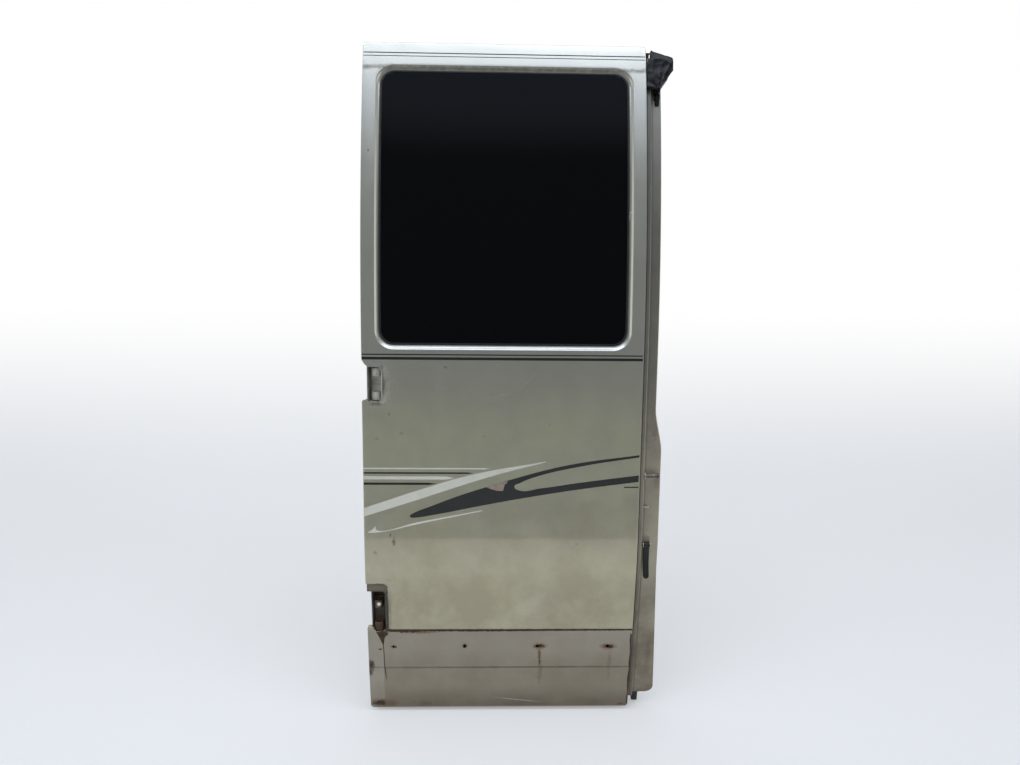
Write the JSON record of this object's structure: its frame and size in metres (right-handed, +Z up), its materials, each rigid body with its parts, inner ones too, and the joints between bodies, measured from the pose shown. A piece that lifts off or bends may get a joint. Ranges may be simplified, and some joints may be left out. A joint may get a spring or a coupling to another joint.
{
  "type": "van side barn door leaf",
  "caption": "Hinged van barn door leaf with a tinted window, pressed skin on a folded frame, hinge lugs in open pockets, and a stepped meeting edge with release lever, latch bolt and striker.",
  "frame": {"origin": "on the underside of the lower hinge's upper lug, the face that the leaf's weight hangs on, 8 mm behind the hinge pin line", "axes": "+Z up, +X along the leaf from the hinge edge to the meeting edge as seen from outside, -Y outwards from the painted skin"},
  "size_m": [0.6703, 0.1592, 1.5057],
  "materials": {
    "silver_paint": "metallic silver paint, weathered",
    "repair_paint": "brushed-on paint over a repair sheet, rust at its holes and seam",
    "tinted_glass": "dark privacy tint",
    "black_rubber": "moulded rubber",
    "inner_paint": "thin paint over folded steel",
    "hinge_steel": "grey paint with rust",
    "bush_bronze": "plain sintered bronze",
    "bare_steel": "zinc plated, worn",
    "black_metal": "black coated steel",
    "pale_plastic": "pale moulded nylon",
    "lining_board": "vinyl covered board",
    "black_film": "thin crumpled polythene film"
  },
  "bodies": {
    "leaf": {"outer_skin": "silver_paint", "lower_repair_panel": "repair_paint", "window_seal": "black_rubber", "window_glass": "tinted_glass", "hinge_channel": "inner_paint", "lock_channel": "inner_paint", "header_channel": "inner_paint", "waist_channel": "inner_paint", "sill_channel": "inner_paint", "lower_inner_panel": "inner_paint", "trim_board": "lining_board", "weatherstrip": "black_rubber", "meeting_flange": "silver_paint", "upper_meeting_flange": "silver_paint", "upper_hinge_pan": "inner_paint", "lower_hinge_pan": "inner_paint", "upper_hinge_bracket": "hinge_steel", "lower_hinge_bracket": "hinge_steel", "upper_hinge_bushes": "bush_bronze", "lower_hinge_bushes": "bush_bronze", "striker_plate": "bare_steel", "striker_pin": "bare_steel", "lever_bracket": "black_metal", "lever_pin": "bare_steel", "lower_latch_guide": "black_metal", "edge_buffer": "pale_plastic", "wrapped_upper_latch": "black_film"},
    "lever": {"release_lever": "black_metal"},
    "bolt": {"lower_latch_bolt": "black_metal"}
  },
  "joints": [
    {"name": "lever_pull", "type": "hinge", "parent": "leaf", "child": "lever", "pos_m": [0.6035, -0.02147, 0.151], "axis": [-1, 0, 0], "range_deg": [0, 40], "stiffness_Nm_per_rad": 0.4},
    {"name": "bolt_lift", "type": "slide", "parent": "leaf", "child": "bolt", "axis": [0, -0.165, 0.9863], "range_m": [0, 0.012]}
  ],
  "couplings": [
    {"joint": "bolt_lift", "follows": "lever_pull", "m_per_rad": 0.017}
  ]
}
